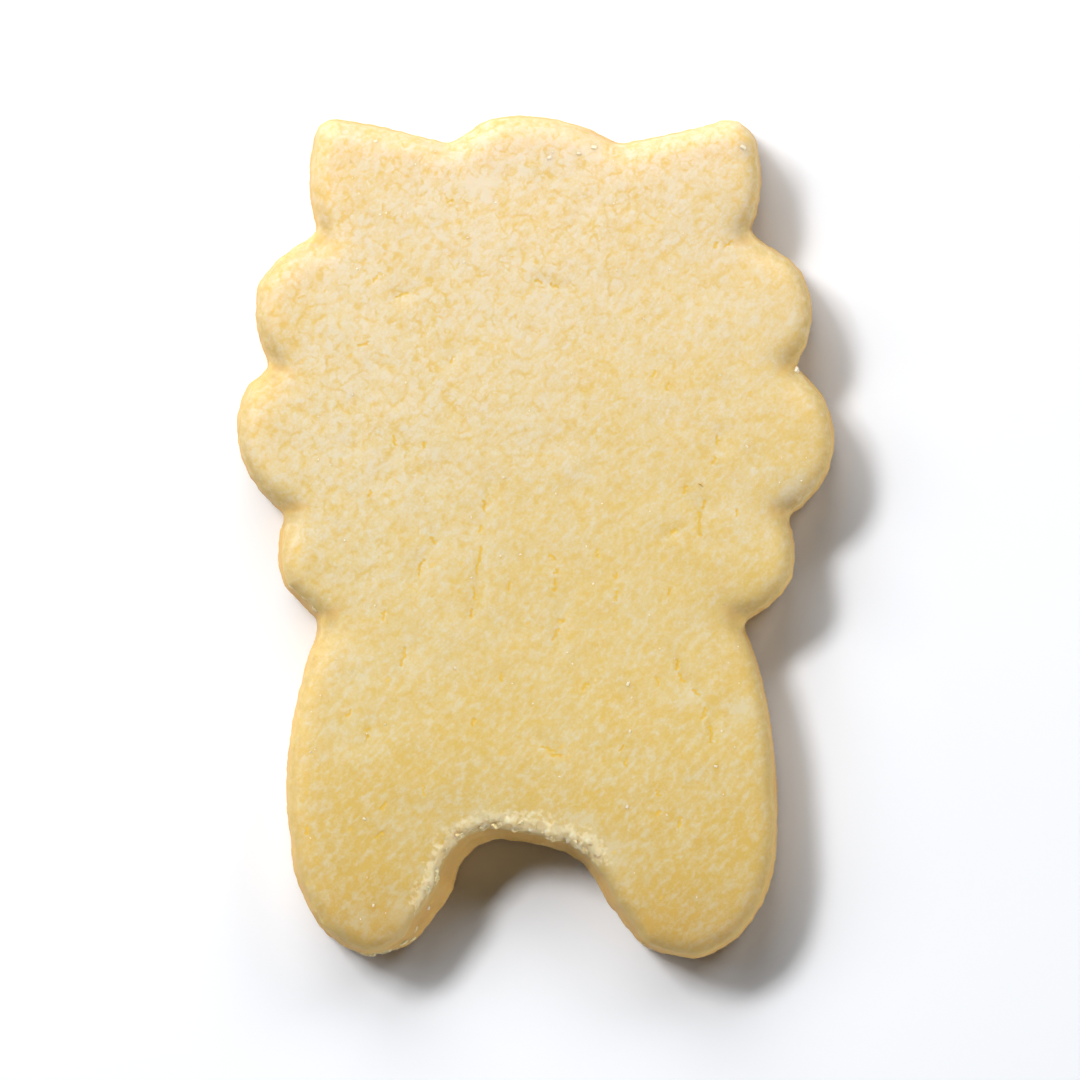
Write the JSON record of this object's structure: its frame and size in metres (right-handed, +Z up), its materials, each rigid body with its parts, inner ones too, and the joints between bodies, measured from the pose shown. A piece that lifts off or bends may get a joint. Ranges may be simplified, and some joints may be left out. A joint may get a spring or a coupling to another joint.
{
  "type": "shortbread cookie",
  "caption": "Flat shortbread cookie cut in the shape of an animal, with ears, a scalloped mane and legs with a rounded gap between them.",
  "frame": {"origin": "middle of the cookie's box in plan, on its flat base", "axes": "+Y from the legs to the head along the cookie's length, +Z up out of its top, +X to the right as seen from above with the head at the top"},
  "size_m": [0.0598, 0.0844, 0.0081],
  "materials": {
    "shortbread": "dry, fine-grained baked dough with a faint butter sheen"
  },
  "bodies": {
    "root": {"cookie": "shortbread"}
  },
  "joints": []
}
